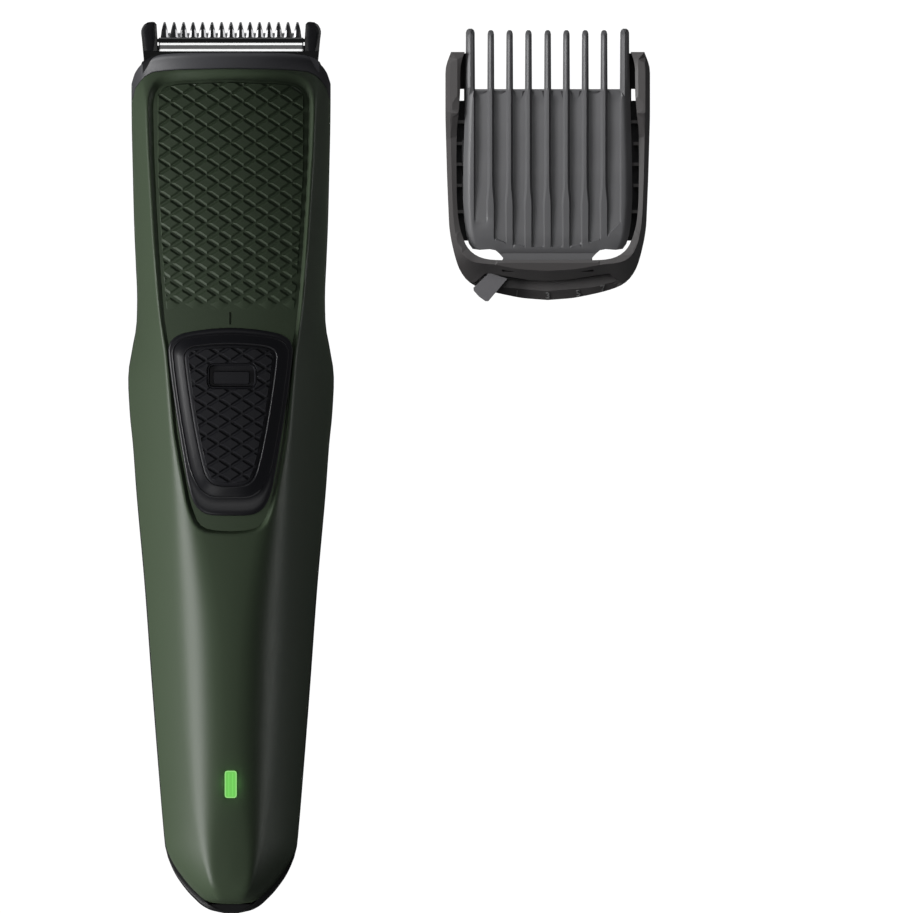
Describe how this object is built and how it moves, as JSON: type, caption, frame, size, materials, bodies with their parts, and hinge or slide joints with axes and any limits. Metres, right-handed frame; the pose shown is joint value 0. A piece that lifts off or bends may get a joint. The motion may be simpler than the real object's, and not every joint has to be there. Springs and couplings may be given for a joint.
{
  "type": "beard trimmer",
  "caption": "Cordless beard trimmer with slide switch, pull-off cutting head and a detached adjustable comb with zoom lever",
  "frame": {"origin": "on the flat of the back that the trimmer rests on, on its centre line, halfway between the bottom end and the blades", "axes": "+Y along the handle toward the blades, +Z out of the front face with the switch, +X to the right seen from the front"},
  "size_m": [0.0934, 0.1596, 0.0306],
  "materials": {
    "green_body": "satin painted dark green",
    "green_panel": "satin dark green with raised diamond texture",
    "black_body": "satin black",
    "collar_grey": "satin dark grey",
    "switch_black": "semi gloss black",
    "switch_pad_black": "matt textured black",
    "inner_plastic": "matt light grey",
    "foam": "matt black foam",
    "pcb_green": "solder mask green",
    "steel": "brushed",
    "plated_steel": "polished",
    "led_green": "lit green lens",
    "led_chip": "clear",
    "cell_blue": "shrink sleeve",
    "wire_red": "insulation",
    "wire_black": "insulation",
    "head_black": "satin black",
    "driver_white": "low friction plastic",
    "comb_frame_grey": "satin warm dark grey",
    "comb_plate_grey": "semi gloss grey",
    "lever_grey": "satin grey"
  },
  "bodies": {
    "handle": {"front_shell": "green_body", "rear_shell": "black_body", "head_collar": "collar_grey", "grip_panel": "green_panel", "switch_seal": "foam", "pcb": "pcb_green", "slide_switch": "steel", "led_lens": "led_green", "led": "led_chip", "battery": "cell_blue", "battery_tab_pos": "plated_steel", "battery_tab_neg": "plated_steel", "motor": "steel", "shaft_seal": "foam", "motor_lead_red": "wire_red", "motor_lead_black": "wire_black", "chassis": "inner_plastic", "charge_socket": "switch_black", "socket_gasket": "foam", "housing_screw_1": "plated_steel", "housing_screw_2": "plated_steel", "housing_screw_3": "plated_steel", "housing_screw_4": "plated_steel"},
    "power_switch": {"switch_button": "switch_black", "switch_pad": "switch_pad_black", "switch_carrier": "inner_plastic"},
    "switch_knob": {"switch_knob": "switch_black"},
    "rotor": {"motor_shaft": "plated_steel", "eccentric": "driver_white"},
    "cutting_head": {"head_frame": "head_black", "guard_blade": "steel", "blade_clamp": "plated_steel", "blade_screw_l": "plated_steel", "blade_screw_r": "plated_steel", "cutter_spring": "plated_steel"},
    "cutter": {"cutter_blade": "steel", "cutter_driver": "driver_white"},
    "comb": {"comb_frame": "comb_frame_grey", "lever_pivot": "plated_steel"},
    "zoom_lever": {"zoom_lever": "lever_grey"},
    "comb_slide": {"comb_plate": "comb_plate_grey"}
  },
  "joints": [
    {"name": "power_switch_slide", "type": "slide", "parent": "handle", "child": "power_switch", "axis": [0, 1, 0], "range_m": [0, 0.003]},
    {"name": "switch_knob_slide", "type": "slide", "parent": "handle", "child": "switch_knob", "axis": [0, 1, 0], "range_m": [0, 0.003]},
    {"name": "motor_spin", "type": "hinge", "parent": "handle", "child": "rotor", "pos_m": [0, 0.038, 0.0095], "axis": [0, 1, 0], "continuous": true},
    {"name": "head_pull_off", "type": "slide", "parent": "handle", "child": "cutting_head", "axis": [0, 1, 0], "range_m": [0, 0.025]},
    {"name": "cutter_stroke", "type": "slide", "parent": "cutting_head", "child": "cutter", "axis": [1, 0, 0], "range_m": [-0.0007, 0.0007]},
    {"name": "comb_lift_off", "type": "slide", "parent": "handle", "child": "comb", "axis": [0, 0, 1], "range_m": [0, 0.04]},
    {"name": "zoom_lever_turn", "type": "hinge", "parent": "comb", "child": "zoom_lever", "pos_m": [0.0567, 0.04414, 0.0027], "axis": [0, 0, 1], "range_deg": [0, 84.05]},
    {"name": "comb_length_slide", "type": "slide", "parent": "comb", "child": "comb_slide", "axis": [0, 1, 0], "range_m": [0, 0.007]}
  ],
  "couplings": [
    {"joint": "switch_knob_slide", "follows": "power_switch_slide", "ratio": 1},
    {"joint": "zoom_lever_turn", "follows": "comb_length_slide", "rad_per_m": 209.44}
  ]
}
